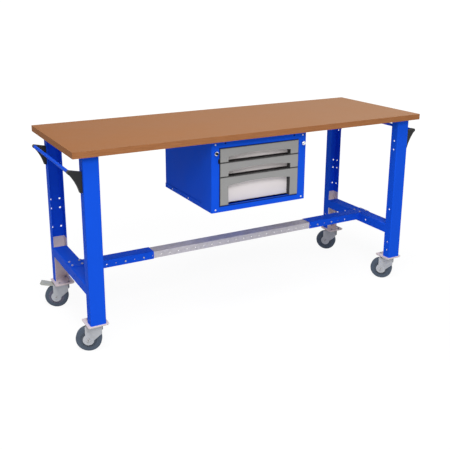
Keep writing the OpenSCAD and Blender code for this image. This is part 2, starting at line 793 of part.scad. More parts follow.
module nut() difference() {
    cylinder(d = head_d, h = nut_t, $fn = 6);
    translate([0, 0, -1]) cylinder(d = bolt_d + 0.02, h = nut_t + 2);
}

module frame_bolts() {
    color([0.75, 0.75, 0.76]) {
        for (sx = [-1, 1]) at_corner(sx, -1) {
            for (p = tongue_bolt_points()) translate([p[0], p[1], 0]) {
                translate([0, 0, stretcher_top]) bolt(2 * leg_sheet + 2 * nut_t);
                translate([0, 0, side_rail_top - leg_sheet - nut_t]) nut();
            }
            for (i = lock_bolt_steps) translate([end_hole_xs()[i], -stretcher_w / 2,
                                                 stretcher_top - stretcher_hole_drop])
                rotate([90, 0, 0]) low_bolt(14);
            for (p = top_screw_points()) translate([p[0], p[1], board_z - leg_sheet - screw_head_t]) {
                cylinder(d = screw_head_d, h = screw_head_t);
                cylinder(d = screw_d, h = screw_head_t + leg_sheet + screw_grip);
            }
        }
    }
}

module caster_bolts() {
    color([0.70, 0.70, 0.72]) for (sx = [-1, 1], sy = [-1, 1]) at_caster(sx, sy)
        for (p = plate_hole_points()) translate([p[0], p[1], 0]) {
            translate([0, 0, race_top]) mirror([0, 0, 1])
                bolt(caster_plate_t + foot_plate_t + 1.4 * nut_t);
            translate([0, 0, foot_top]) nut();
        }
}

// ---------- nodes ----------

worktop();
leg(-1, -1);  // leg_front_left
leg(1, -1);  // leg_front_right
leg(-1, 1);  // leg_rear_left
leg(1, 1);  // leg_rear_right
inner_leg(-1, -1);  // inner_leg_front_left
inner_leg(1, -1);  // inner_leg_front_right
inner_leg(-1, 1);  // inner_leg_rear_left
inner_leg(1, 1);  // inner_leg_rear_right
side_rail(-1);  // side_rail_left
side_rail(1);  // side_rail_right
top_rail(-1);  // top_rail_left
top_rail(1);  // top_rail_right
stretcher_end(-1);  // stretcher_end_left
stretcher_end(1);  // stretcher_end_right
stretcher_middle();
handle_tube(-1);  // handle_tube_left
handle_tube(1);  // handle_tube_right
handle_brackets(-1);  // handle_brackets_left
handle_brackets(1);  // handle_brackets_right
caster_plate(-1, -1);  // caster_plate_front_left
caster_plate(1, -1);  // caster_plate_front_right
caster_plate(-1, 1);  // caster_plate_rear_left
caster_plate(1, 1);  // caster_plate_rear_right
fork(-1, -1);  // fork_front_left
fork(1, -1);  // fork_front_right
fork(-1, 1);  // fork_rear_left
fork(1, 1);  // fork_rear_right
axle(-1, -1);  // axle_front_left
axle(1, -1);  // axle_front_right
axle(-1, 1);  // axle_rear_left
axle(1, 1);  // axle_rear_right
rim(-1, -1);  // rim_front_left
rim(1, -1);  // rim_front_right
rim(-1, 1);  // rim_rear_left
rim(1, 1);  // rim_rear_right
tyre(-1, -1);  // tyre_front_left
tyre(1, -1);  // tyre_front_right
tyre(-1, 1);  // tyre_rear_left
tyre(1, 1);  // tyre_rear_right
brake_pedal();
cabinet_shell();
cabinet_floor();
front_frame();
cabinet_uprights();
slides_fixed();
lock_barrels();
lock_knob(-1);  // lock_knob_left
lock_knob(1);  // lock_knob_right
drawer_box(0);  // drawer_box_top
drawer_box(1);  // drawer_box_middle
drawer_box(2);  // drawer_box_bottom
drawer_slides(0);  // drawer_slides_top
drawer_slides(1);  // drawer_slides_middle
drawer_slides(2);  // drawer_slides_bottom
drawer_front(0);  // drawer_front_top
drawer_front(1);  // drawer_front_middle
drawer_front(2);  // drawer_front_bottom
frame_bolts();
caster_bolts();
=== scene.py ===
import json
import math

import bmesh
import bpy
from mathutils import Matrix, Vector


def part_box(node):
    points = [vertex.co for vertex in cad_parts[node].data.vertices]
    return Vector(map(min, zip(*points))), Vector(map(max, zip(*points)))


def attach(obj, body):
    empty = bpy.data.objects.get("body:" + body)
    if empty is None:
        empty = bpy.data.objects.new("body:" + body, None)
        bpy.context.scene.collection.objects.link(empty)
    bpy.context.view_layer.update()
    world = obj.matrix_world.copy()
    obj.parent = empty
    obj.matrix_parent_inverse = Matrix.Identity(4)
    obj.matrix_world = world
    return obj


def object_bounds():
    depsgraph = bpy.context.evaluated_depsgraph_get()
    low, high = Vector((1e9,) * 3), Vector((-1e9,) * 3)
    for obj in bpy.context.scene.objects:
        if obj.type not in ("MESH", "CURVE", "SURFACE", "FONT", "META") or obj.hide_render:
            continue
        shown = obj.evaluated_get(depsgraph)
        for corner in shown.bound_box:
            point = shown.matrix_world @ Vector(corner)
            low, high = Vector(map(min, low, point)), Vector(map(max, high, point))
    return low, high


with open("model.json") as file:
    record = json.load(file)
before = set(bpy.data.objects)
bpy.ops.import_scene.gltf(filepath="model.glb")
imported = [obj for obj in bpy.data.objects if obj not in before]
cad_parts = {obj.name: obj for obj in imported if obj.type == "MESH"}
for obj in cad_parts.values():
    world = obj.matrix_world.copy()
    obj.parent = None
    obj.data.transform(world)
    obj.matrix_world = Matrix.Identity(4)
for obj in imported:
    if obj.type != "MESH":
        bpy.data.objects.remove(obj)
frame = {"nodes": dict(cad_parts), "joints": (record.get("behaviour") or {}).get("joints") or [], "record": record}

# %% [markdown]
# # A mobile workbench with a drawer cabinet
# The imported CAD model is the bench itself: a wooden worktop, steel legs on casters, a stretcher,
# push handles and a hung cabinet with three drawers. This lesson gives each part its finish,
# adds the small fasteners, and lights it as a product. The CAD box is kept first, and the floor
# is laid just under it.

# %% The box of the CAD model
nodes = frame["nodes"]
record = frame["record"]
cad_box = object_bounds()

# %% [markdown]
# ## Small helpers
# A material in Blender is a graph: nodes with inputs, joined by links. It could be drawn by hand,
# but that is slow to repeat, so every look below is wired in code. These functions add a node,
# fill an input with a value or with another node's socket, and fill several inputs by name.

# %% Adding and filling nodes


def add(tree, kind, **settings):
    """A new shader node with its settings."""
    node = tree.nodes.new(kind)
    for name, value in settings.items():
        setattr(node, name, value)
    return node


def feed(slot, term):
    """Gives an input a value, or joins a socket to it."""
    if isinstance(term, bpy.types.NodeSocket):
        slot.id_data.links.new(term, slot)
    else:
        slot.default_value = term


def give(node, **terms):
    """Feeds inputs by name; an underscore stands for a space."""
    for name, term in terms.items():
        feed(node.inputs[name.replace("_", " ")], term)
    return node


# %% [markdown]
# ### Arithmetic on masks
# A mask is a number from 0 to 1 that changes over the surface, such as how dusty a place is.
# Masks are multiplied, compared and stretched to other ranges, and they decide how two colours
# mix. With a function for each of these a look reads as a formula, not as a tangle of nodes.

# %% Arithmetic and mixing


def math_node(tree, operation, *terms, clamp=False):
    """One step of arithmetic; each term is a socket or a number."""
    node = add(tree, "ShaderNodeMath", operation=operation, use_clamp=clamp)
    for slot, term in zip(node.inputs, terms):
        feed(slot, term)
    return node.outputs[0]


def product(tree, first, second):
    """Two terms multiplied."""
    return math_node(tree, "MULTIPLY", first, second)


def spread(tree, value, low, high, to_low=0.0, to_high=1.0):
    """Stretches the range low to high onto to_low to to_high, and holds it there."""
    node = give(add(tree, "ShaderNodeMapRange", clamp=True), Value=value,
                From_Min=low, From_Max=high, To_Min=to_low, To_Max=to_high)
    return node.outputs["Result"]


def mix_colour(tree, share, first, second):
    """Mixes two colours; each is a socket or a colour."""
    node = add(tree, "ShaderNodeMix", data_type="RGBA")
    for slot, term in zip((node.inputs[0], node.inputs[6], node.inputs[7]), (share, first, second)):
        feed(slot, term)
    return node.outputs[2]


# %% [markdown]
# ### Where a point is and how it faces
# A pattern has to know its place. An image texture would need the surface unwrapped; noise in
# the object's own coordinates doesn't, and it stays on its part when the part moves. The normal
# tells an upper face from an upright one.

# %% Coordinates, normals and noise


def split(tree, vector):
    """The X, Y and Z of a vector."""
    node = add(tree, "ShaderNodeSeparateXYZ")
    feed(node.inputs[0], vector)
    return node.outputs


def own_place(tree):
    """Where a point lies in its object's own coordinates."""
    return add(tree, "ShaderNodeTexCoord").outputs["Object"]


def normal(tree):
    """The direction that the surface faces."""
    return add(tree, "ShaderNodeNewGeometry").outputs["Normal"]


def noise(tree, where, **terms):
    """The level of a noise texture."""
    return give(add(tree, "ShaderNodeTexNoise"), Vector=where, **terms).outputs["Fac"]


# %% [markdown]
# ## Shader node groups
# Paint, plating, plastic and wood differ in colour and gloss, but several effects come back in
# all of them. Their nodes could be copied into each material, but then a change has to be made in
# every copy. A group with named inputs is built once, and each material places it with its own
# values.

# %% A maker of empty groups
COLOUR_IN = ("Color", "Color", (0.5, 0.5, 0.5, 1))
COLOUR_AND_MASK = [("Color", "Color"), ("Float", "Mask")]


def new_group(name, inputs, outputs):
    """An empty node group; inputs are (kind, name, default), outputs are (kind, name)."""
    tree = bpy.data.node_groups.new(name, "ShaderNodeTree")
    for kind, label, default in inputs:
        socket = tree.interface.new_socket(label, in_out="INPUT", socket_type="NodeSocket" + kind)
        socket.default_value = default
    for kind, label in outputs:
        tree.interface.new_socket(label, in_out="OUTPUT", socket_type="NodeSocket" + kind)
    print("group:", name, "inputs:", len(inputs))
    return tree, add(tree, "NodeGroupInput").outputs, add(tree, "NodeGroupOutput")


# %% [markdown]
# ### Mottle
# No coat is the same all over: powder lies a little thicker here than there. One flat colour
# looks drawn, so wide, soft noise brightens and darkens it by a few per cent. The mask comes out
# as well, so that a material can move its gloss with it.

# %% The mottle group


def mottle_group():
    inputs = [COLOUR_IN, ("Float", "Patch Scale", 9.0), ("Float", "Depth", 0.06)]
    tree, start, end = new_group("Mottle", inputs, COLOUR_AND_MASK)
    level = noise(tree, own_place(tree), Scale=start["Patch Scale"], Detail=4.0, Roughness=0.55)
    mask = spread(tree, level, 0.3, 0.7)
    change = product(tree, math_node(tree, "SUBTRACT", mask, 0.5), start["Depth"])
    shade = add(tree, "ShaderNodeVectorMath", operation="SCALE")
    give(shade, Vector=start["Color"], Scale=math_node(tree, "ADD", change, 1.0))
    give(end, Color=shade.outputs[0], Mask=mask)
    return tree


MOTTLE = mottle_group()

# %% [markdown]
# ### Pebble
# Powder coat dries with a fine orange peel, and moulded plastic copies the spark-eroded skin of
# its mould. Modelled, bumps this small would take millions of faces, so they are only a height
# for the Bump node. Peel and skin differ in size and sharpness, so one group makes both.

# %% The pebble group


def pebble_group():
    inputs = [("Float", "Grain Scale", 600.0), ("Float", "Sharpness", 0.5)]
    tree, start, end = new_group("Pebble", inputs, [("Float", "Height")])
    where, scale = own_place(tree), start["Grain Scale"]
    cells = add(tree, "ShaderNodeTexVoronoi", feature="SMOOTH_F1")
    give(cells, Vector=where, Scale=scale)
    rounded = product(tree, cells.outputs["Distance"], start["Sharpness"])
    fine = noise(tree, where, Scale=scale, Detail=2.0)
    give(end, Height=math_node(tree, "ADD", rounded, fine))
    return tree


PEBBLE = pebble_group()

# %% [markdown]
# ### Edge rub
# Handling polishes the outer edges first. Edges could be painted by hand, but the Bevel node
# finds them: it gives a normal that is rounded near an edge, and where that turns away from the
# true normal there is an edge. Noise breaks the line up, so that it looks rubbed and not drawn.

# %% The edge rub group
RUB_RADIUS = 0.0016
EDGE_TURNS = (0.99, 0.86)  # how alike the two normals are where the rub starts and is full


def edge_group():
    inputs = [COLOUR_IN, ("Color", "Rubbed Color", (0.8, 0.8, 0.8, 1)), ("Float", "Amount", 0.4)]
    tree, start, end = new_group("Edge Rub", inputs, COLOUR_AND_MASK)
    bevel = give(add(tree, "ShaderNodeBevel", samples=4), Radius=RUB_RADIUS)
    turn = add(tree, "ShaderNodeVectorMath", operation="DOT_PRODUCT")
    for slot, direction in zip(turn.inputs, (bevel.outputs[0], normal(tree))):
        feed(slot, direction)
    edge = spread(tree, turn.outputs["Value"], *EDGE_TURNS)
    level = noise(tree, own_place(tree), Scale=45.0, Detail=5.0, Roughness=0.7)
    broken = product(tree, edge, spread(tree, level, 0.35, 0.65, to_low=0.25))
    mask = math_node(tree, "MULTIPLY", broken, start["Amount"], clamp=True)
    give(end, Color=mix_colour(tree, mask, start["Color"], start["Rubbed Color"]), Mask=mask)
    return tree


EDGE_RUB = edge_group()

# %% [markdown]
# ### Shop dust
# In a workshop a thin film lies on what faces up, and none on upright faces. It is too thin to
# have a shape of its own, so it is a second colour. The height of the normal says how flat a
# place lies, and noise makes the film patchy.

# %% The dust group


def dust_group():
    inputs = [COLOUR_IN, ("Color", "Dust Color", (0.5, 0.48, 0.45, 1)), ("Float", "Amount", 0.1)]
    tree, start, end = new_group("Shop Dust", inputs, COLOUR_AND_MASK)
    lying = spread(tree, split(tree, normal(tree))["Z"], 0.3, 1.0)
    level = noise(tree, own_place(tree), Scale=14.0, Detail=6.0, Roughness=0.65)
    patches = spread(tree, level, 0.35, 0.7, to_low=0.3)
    mask = product(tree, product(tree, lying, patches), start["Amount"])
    give(end, Color=mix_colour(tree, mask, start["Color"], start["Dust Color"]), Mask=mask)
    return tree


DUST = dust_group()

# %% [markdown]
# ### Seam shade
# Seams and hand holds go dark where little light reaches them. The gaps themselves are modelled;
# this group deepens their shade. It measures how near a point lies to a rectangle in the object's
# own X and Z, and how deep it lies behind the front. Near the rectangle it darkens the first few
# millimetres, and with Lip on the whole top and foot; well inside it, with Hollow on, all that
# lies deep and doesn't face down. The fronts and their opening are rectangles, so two corners
# are enough to describe each.

# %% The seam shade group
SHADE_COLOUR = (0.004, 0.004, 0.005, 1)
SHADE_FADES = (0.007, 0.013)      # depths behind the front between which the seam's shade ends
HOLLOW_STARTS = (-0.002, -0.003)  # distances inside the rectangle at which the hollow begins
HOLLOW_DEPTH = 0.0012             # depth behind the front at which the hollow is full
FACES_DOWN = (-0.5, -0.2)         # heights of the normal that count as down and as not down


def beyond(tree, place, low, high, axis):
    """How far a point lies outside a range along one axis; negative is inside."""
    short = math_node(tree, "SUBTRACT", low[axis], place[axis])
    over = math_node(tree, "SUBTRACT", place[axis], high[axis])
    return math_node(tree, "MAXIMUM", short, over)


def seam_group():
    inputs = [COLOUR_IN, ("Vector", "Low", (0, 0, 0)), ("Vector", "High", (0, 0, 0)),
              ("Float", "Reach", 0.003), ("Float", "Lip", 0.0), ("Float", "Hollow", 0.0),
              ("Float", "Amount", 0.9)]
    tree, start, end = new_group("Seam Shade", inputs, COLOUR_AND_MASK)
    place, low, high = (split(tree, at) for at in (own_place(tree), start["Low"], start["High"]))
    aside, above = (beyond(tree, place, low, high, axis) for axis in "XZ")
    distance = math_node(tree, "MAXIMUM", aside, above)
    behind = math_node(tree, "SUBTRACT", place["Y"], low["Y"])

    away = math_node(tree, "DIVIDE", math_node(tree, "ABSOLUTE", distance), start["Reach"])
    near = math_node(tree, "SUBTRACT", 1.0, away, clamp=True)
    shallow = spread(tree, behind, *SHADE_FADES, to_low=1.0, to_high=0.0)
    lip = product(tree, math_node(tree, "GREATER_THAN", above, aside), start["Lip"])
    seam = product(tree, near, math_node(tree, "MAXIMUM", shallow, lip))

    not_down = spread(tree, split(tree, normal(tree))["Z"], *FACES_DOWN)
    inside = product(tree, spread(tree, distance, *HOLLOW_STARTS), not_down)
    deep = product(tree, inside, spread(tree, behind, 0.0, HOLLOW_DEPTH))
    hollow = product(tree, deep, start["Hollow"])

    mask = product(tree, math_node(tree, "MAXIMUM", seam, hollow), start["Amount"])
    give(end, Color=mix_colour(tree, mask, start["Color"], SHADE_COLOUR), Mask=mask)
    return tree


SEAM_SHADE = seam_group()

# %% [markdown]
# ## Materials
# A material is a Principled shader with its steady numbers on its own sockets, where an exporter
# can read them. Groups are placed before it for what changes over the surface. The small class
# remembers the colour so far; each group takes that colour and hands on a new one, so a finish
# is built up in the order of its real layers.

# %% A small builder for materials


class Finish:
    """A material under construction: a Principled shader and the colour that feeds it."""

    def __init__(self, name, colour, roughness, **steady):
        self.material = bpy.data.materials.new(name)
        self.material.use_nodes = True
        self.tree = self.material.node_tree
        self.shader = self.tree.nodes["Principled BSDF"]
        give(self.shader, Base_Color=colour, Roughness=roughness, **steady)
        self.material.diffuse_color = colour
        self.colour = colour

    def place(self, group, **terms):
        """Puts a group in the tree, fed with the colour so far if it takes one."""
        node = give(add(self.tree, "ShaderNodeGroup", node_tree=group), **terms)
        if "Color" in node.inputs:
            feed(node.inputs["Color"], self.colour)
        if "Color" in node.outputs:
            self.paint(node.outputs["Color"])
        return node.outputs

    def paint(self, socket):
        """Feeds the shader's colour from a socket."""
        self.colour = socket
        give(self.shader, Base_Color=socket)

    def gloss(self, mask, low, high):
        """Moves the roughness between two values with a mask."""
        give(self.shader, Roughness=spread(self.tree, mask, 0.0, 1.0, low, high))

    def relief(self, height, depth, strength):
        """Raises the surface by a height, in metres at its highest."""
        bump = add(self.tree, "ShaderNodeBump")
        give(bump, Height=height, Strength=strength, Distance=depth)
        give(self.shader, Normal=bump.outputs[0])


# %% [markdown]
# ### Colours
# A colour picked on a screen is stored on a curve that suits the eye, while a shader works with
# amounts of light. This turns one into the other, so that colours can be written as they look.

# %% Screen colours
SCREEN_TOE = 0.04045  # below this share the screen's curve is a straight line


def linear(red, green, blue):
    """A screen colour, 0 to 255 a channel, as the linear colour that a shader takes."""
    def channel(value):
        share = value / 255
        return share / 12.92 if share <= SCREEN_TOE else ((share + 0.055) / 1.055) ** 2.4
    return (channel(red), channel(green), channel(blue), 1.0)


# %% [markdown]
# ### Powder coat
# Legs, rails, handles and cabinet are sprayed with one blue powder, and baked. It is a saturated
# colour that reflects very little, and the peel in it softens what it does reflect. A plain blue
# shader would look flat beside it, so mottle, rubbed edges, a trace of dust and the peel go on
# top. Rivets, drawer boxes and the brake pedal have the same coat in other colours.

# %% Powder coats


def powder_coat(name, colour, rubbed, depth=0.05, dust=0.006, opening=None):
    finish = Finish(name, colour, 0.5, Coat_Weight=0.01, Coat_Roughness=0.3,
                    Specular_IOR_Level=0.015)
    patches = finish.place(MOTTLE, Patch_Scale=7.0, Depth=depth)
    finish.gloss(patches["Mask"], low=0.45, high=0.55)
    finish.place(EDGE_RUB, Rubbed_Color=rubbed, Amount=0.35)
    finish.place(DUST, Amount=dust)
    if opening:
        finish.place(SEAM_SHADE, Low=opening[0], High=opening[1], Reach=0.005)
    peel = finish.place(PEBBLE, Grain_Scale=420.0, Sharpness=0.6)
    finish.relief(peel["Height"], depth=0.00012, strength=0.35)
    print("powder coat:", name)
    return finish.material


BLUE, BLUE_RUBBED = linear(22, 88, 233), linear(60, 118, 236)
blue_paint = powder_coat("Blue_powder_coat", BLUE, BLUE_RUBBED)
cabinet_paint = powder_coat("Cabinet_powder_coat", BLUE, BLUE_RUBBED, depth=0.03)
rivet_paint = powder_coat("Rivet_powder_coat", linear(14, 34, 104), linear(30, 60, 150))
drawer_paint = powder_coat("Drawer_powder_coat", linear(250, 243, 242), linear(252, 249, 248))
pedal_coat = powder_coat("Pedal_coat", linear(186, 188, 180), linear(206, 207, 200))

# %% [markdown]
# ### The front frame's opening
# The frame round the drawers is coated like the cabinet, but has the seam shade along the
# rectangle that the drawer fronts fill. The rectangle comes from the fronts' own boxes, turned
# into the frame's coordinates, so it follows if their sizes change.

# %% Paint of the front frame
SEAM_MARGIN = Vector((0.0025, 0, 0.0025))  # the gap round the fronts
RIGHT_SHIFT = Vector((0.006, 0, 0))        # keeps the shade off the side that catches light


def front_opening():
    """The rectangle of the drawer fronts in the front frame's own coordinates."""
    to_frame = nodes["front_frame"].matrix_world.inverted()
    low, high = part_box("drawer_front_bottom")[0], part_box("drawer_front_top")[1]
    low.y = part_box("front_frame")[0].y
    return (tuple(to_frame @ (low - SEAM_MARGIN)),
            tuple(to_frame @ (high + SEAM_MARGIN - RIGHT_SHIFT)))


frame_opening = front_opening()
frame_paint = powder_coat("Frame_powder_coat", BLUE, BLUE_RUBBED, depth=0.03, opening=frame_opening)
print("opening:", frame_opening)

# %% [markdown]
# ### Worktop
# The top is a lacquered wood board. An image of wood would repeat over two metres, so the short
# fibres are noise drawn out along the board. The face is an even brown with a painted sheen that
# pales it a little to the right, and the sawn edge shows the board's layers as lighter and darker
# streaks. One material does both: it asks the normal whether it is on a face or on an edge.

# %% Lacquered board
BOARD_FACE, BOARD_FIBRE = linear(166, 112, 71), linear(149, 97, 60)
EDGE_LIGHT, EDGE_DARK = linear(180, 122, 80), linear(146, 94, 58)
# The last colour here is a painted sheen, which pales the face towards the board's right end.
BOARD_DUST, BOARD_PAINTED_SHEEN = linear(190, 170, 150), linear(222, 184, 154)


def streaks(tree, stretch, scale, detail=5.0):
    """Noise drawn out along one direction, from 0 to 1."""
    mapping = give(add(tree, "ShaderNodeMapping"), Vector=own_place(tree), Scale=stretch)
    return noise(tree, mapping.outputs[0], Scale=scale, Detail=detail, Roughness=0.6)


def lacquered_board():
    finish = Finish("Lacquered_board", BOARD_FACE, 0.55, Coat_Weight=0.005, Coat_Roughness=0.35,
                    Specular_IOR_Level=0.02)
    tree = finish.tree
    patches = finish.place(MOTTLE, Patch_Scale=3.0, Depth=0.07)
    fibres = streaks(tree, stretch=(9.0, 160.0, 160.0), scale=4.0)
    fibre_mask = product(tree, spread(tree, fibres, 0.42, 0.75), 0.35)
    finish.paint(mix_colour(tree, fibre_mask, finish.colour, BOARD_FIBRE))
    layers = streaks(tree, stretch=(5.0, 5.0, 420.0), scale=3.0, detail=6.0)
    edge_colour = mix_colour(tree, spread(tree, layers, 0.35, 0.68), EDGE_LIGHT, EDGE_DARK)
    upright = math_node(tree, "ABSOLUTE", split(tree, normal(tree))["Z"])
    flat = spread(tree, upright, 0.35, 0.75)
    finish.paint(mix_colour(tree, flat, edge_colour, finish.colour))
    finish.place(DUST, Dust_Color=BOARD_DUST, Amount=0.03)
    # Painted sheen: the face grows paler towards its right end.
    along = spread(tree, split(tree, own_place(tree))["X"], -1.0, 1.0, to_high=0.3)
    finish.paint(mix_colour(tree, product(tree, along, flat), finish.colour, BOARD_PAINTED_SHEEN))
    finish.gloss(patches["Mask"], low=0.5, high=0.62)
    height = math_node(tree, "ADD", fibres, product(tree, layers, 0.6))
    finish.relief(height, depth=0.0003, strength=0.25)
    return finish.material


worktop_wood = lacquered_board()
print("board:", worktop_wood.name)

# %% [markdown]
# ### Zinc
# The telescopic inner channels are galvanised, and casters, slides and bolts are plated. Zinc
# freezes in flat crystals, the spangle, each with its own tilt, so each reflects a little
# differently. Noise would blur them together; Voronoi cells with a random value per cell keep
# them apart, in the colour as well as in the gloss. Small parts have a finer spangle. A dark
# film lies on the upper faces; the foot plates, caster plates and their bolts have the least.
# The inner legs and plates have a warmer zinc, painted paler as well to offset the shade they sit
# in, which is painted light. The frame and tray screws are a paler copy of the bolt zinc, painted
# light, the caster bolts a darker copy, painted shade, and the axle centres dark steel, painted shade.

# %% Zinc and steel
ZINC_DUST = linear(84, 84, 104)


def plated(name, colour, roughness, spangle, contrast, dust=0.34):
    finish = Finish(name, colour, roughness, Metallic=0.1, Specular_IOR_Level=0.1)
    tree = finish.tree
    crystals = add(tree, "ShaderNodeTexVoronoi", feature="F1")
    give(crystals, Vector=own_place(tree), Scale=spangle, Randomness=1.0)
    tilt = split(tree, crystals.outputs["Color"])
    darker = tuple(channel * (1 - contrast) for channel in colour[:3]) + (1.0,)
    finish.paint(mix_colour(tree, tilt["X"], colour, darker))
    finish.gloss(tilt["Y"], low=roughness - 0.07, high=roughness + 0.09)
    finish.place(MOTTLE, Patch_Scale=5.0, Depth=0.1)
    finish.place(DUST, Dust_Color=ZINC_DUST, Amount=dust)
    grain = finish.place(PEBBLE, Grain_Scale=900.0, Sharpness=0.2)
    finish.relief(grain["Height"], depth=0.00008, strength=0.25)
    print("plated:", name)
    return finish.material


galvanised = plated("Galvanised_steel", linear(219, 215, 220), roughness=0.5, spangle=85.0,
                    contrast=0.12)
# Inner legs and plates: a warmer zinc, made paler and given less film as painted light against their shade.
warm_zinc_painted_light = plated("Warm_zinc_painted_light", linear(238, 224, 223), roughness=0.52, spangle=110.0,
                    contrast=0.06, dust=0.05)
caster_zinc = plated("Caster_zinc", linear(196, 199, 204), roughness=0.42, spangle=260.0,
                     contrast=0.06)
slide_zinc = plated("Slide_zinc", linear(205, 205, 204), roughness=0.30, spangle=320.0,
                    contrast=0.05)
bolt_zinc = plated("Bolt_zinc", linear(200, 200, 202), roughness=0.32, spangle=500.0,
                   contrast=0.05)
# Dark steel for the axle centres: painted shade of a hole.
shaded_steel = plated("Shaded_steel", linear(74, 76, 80), roughness=0.5, spangle=500.0,
                      contrast=0.1)
# The screws' zinc is a paler, bluer copy of the bolt zinc: painted light on heads that sit in shade.
screw_zinc_painted_light = plated("Screw_zinc_painted_light", linear(238, 242, 250), roughness=0.4, spangle=500.0,
                    contrast=0.04)
# The caster bolts' zinc is a darker copy of the bolt zinc: painted shade round their heads.
caster_bolt_zinc_painted_shade = plated("Caster_bolt_zinc_painted_shade", linear(172, 168, 172), roughness=0.4,
                          spangle=500.0, contrast=0.08, dust=0.1)

# %% [markdown]
# ### Moulded plastics
# Handle brackets, drawer fronts, rims and the lock's knob come out of textured moulds: a fine,
# even pebble that scatters light. Colour hardly changes, so nearly all of the look is in relief
# and gloss, and one function makes them all.

# %% Moulded plastics


def moulded(name, colour, roughness, grain_scale, depth, rubbed, amount=0.2, specular=0.4,
            outline=None, lip=0.0):
    finish = Finish(name, colour, roughness, Specular_IOR_Level=specular)
    patches = finish.place(MOTTLE, Patch_Scale=12.0, Depth=0.06)
    finish.gloss(patches["Mask"], low=roughness - 0.05, high=roughness + 0.06)
    finish.place(EDGE_RUB, Rubbed_Color=rubbed, Amount=amount)
    finish.place(DUST, Amount=0.1)
    if outline:
        finish.place(SEAM_SHADE, Low=outline[0], High=outline[1], Reach=0.004, Hollow=1.0, Lip=lip)
    skin = finish.place(PEBBLE, Grain_Scale=grain_scale, Sharpness=0.8)
    finish.relief(skin["Height"], depth, strength=0.4)
    print("moulded:", name)
    return finish.material


bracket_plastic = moulded("Bracket_plastic", linear(26, 26, 27), roughness=0.6,
                          grain_scale=700.0, depth=0.00012, rubbed=linear(66, 66, 66))
rim_plastic = moulded("Rim_plastic", linear(80, 90, 104), roughness=0.6, grain_scale=650.0,
                      depth=0.0001, rubbed=linear(104, 112, 124))
# The rear left rim is a paler copy of the rim plastic: painted light on that one wheel.
rim_plastic_painted_light = moulded("Rim_plastic_painted_light", linear(108, 108, 128), roughness=0.6,
                           grain_scale=650.0, depth=0.0001, rubbed=linear(128, 128, 144))
knob_plastic = moulded("Knob_plastic", linear(14, 14, 15), roughness=0.35, grain_scale=900.0,
                       depth=0.00004, rubbed=linear(50, 50, 52), amount=0.1, specular=0.1)

# %% [markdown]
# ### Drawer fronts
# The three fronts are one grey plastic, with painted shade in the seam round each and in the hand
# hold under its hood. The shade needs each front's own rectangle, so each has its own material. Lip
# is off on the top front, whose upper side is the one that stays in view when all three are pulled out.

# %% Plastic of the drawer fronts
FRONT_GREY, FRONT_RUBBED = linear(156, 156, 155), linear(186, 186, 184)
LIT_SIDE = Vector((0.005, 0, 0))  # the outline reaches this far past the side that catches light
FRONT_LIPS = {"drawer_front_top": 0.0, "drawer_front_middle": 1.0, "drawer_front_bottom": 1.0}


def seam_box(name):
    """A node's box in its own coordinates, reaching past its lit right side."""
    corners = list(zip(*nodes[name].bound_box))
    return tuple(map(min, corners)), tuple(Vector(map(max, corners)) + LIT_SIDE)


front_plastics = {
    front: moulded(front + "_plastic", FRONT_GREY, roughness=0.5, grain_scale=800.0,
                   depth=0.0001, rubbed=FRONT_RUBBED, outline=seam_box(front), lip=lip)
    for front, lip in FRONT_LIPS.items()}

# %% [markdown]
# ### Tyre and lock
# The tyre is dull rubber that is paler where it was scuffed; the scuffs are the board's streaks
# with another stretch. The lock barrel is polished chrome, which shows little of its own but its
# surroundings, so it is all metal, with faint turning marks in the gloss.

# %% Rubber and chrome


def tyre_rubber():
    finish = Finish("Tyre_rubber", linear(80, 92, 108), 0.72, Specular_IOR_Level=0.35)
    tree = finish.tree
    finish.place(MOTTLE, Patch_Scale=30.0, Depth=0.12)
    scuffs = streaks(tree, stretch=(60.0, 300.0, 60.0), scale=3.0)
    scuffed = product(tree, spread(tree, scuffs, 0.5, 0.75), 0.25)
    finish.paint(mix_colour(tree, scuffed, finish.colour, linear(122, 128, 136)))
    finish.gloss(scuffs, low=0.64, high=0.82)
    skin = finish.place(PEBBLE, Grain_Scale=500.0, Sharpness=0.5)
    finish.relief(skin["Height"], depth=0.0002, strength=0.4)
    return finish.material


def polished_chrome():
    finish = Finish("Lock_chrome", linear(222, 222, 224), 0.1, Metallic=1.0)
    finish.place(MOTTLE, Patch_Scale=120.0, Depth=0.05)
    turned = streaks(finish.tree, stretch=(40.0, 4000.0, 40.0), scale=1.0)
    finish.gloss(turned, low=0.06, high=0.16)
    return finish.material


rubber, lock_chrome = tyre_rubber(), polished_chrome()
print("tyre and lock:", rubber.name, lock_chrome.name)

# %% [markdown]
# ## Finishing the CAD parts
# The record says which material slot each node has, so one table from slot to material dresses
# the whole bench. A few nodes differ from the rest of their slot, and they are listed beside it:
# the inner legs and plates, whose zinc is warmer than the stretcher's and painted paler to offset
# their shade, the rear left rim, paler as painted light, the caster bolts, darker as painted
# shade, and the front frame and fronts, which carry the seam shade.

# %% Materials of the slots
CORNERS = ("front_left", "front_right", "rear_left", "rear_right")
materials = {
    "worktop_wood": worktop_wood, "blue_paint": blue_paint, "galvanised_steel": galvanised,
    "caster_steel": caster_zinc, "bracket_plastic": bracket_plastic, "rim_plastic": rim_plastic,
    "tyre_rubber": rubber, "pedal_steel": pedal_coat, "cabinet_paint": cabinet_paint,
    "drawer_paint": drawer_paint, "slide_zinc": slide_zinc,
    "front_plastic": front_plastics["drawer_front_top"],
    "lock_chrome": lock_chrome, "knob_plastic": knob_plastic, "bolt_zinc": bolt_zinc,
}
own_finish = {"rim_rear_left": rim_plastic_painted_light, "caster_bolts": caster_bolt_zinc_painted_shade,
              "front_frame": frame_paint, "lock_knob_right": lock_chrome, **front_plastics}
for corner in CORNERS:
    own_finish["inner_leg_" + corner] = warm_zinc_painted_light
    own_finish["caster_plate_" + corner] = warm_zinc_painted_light
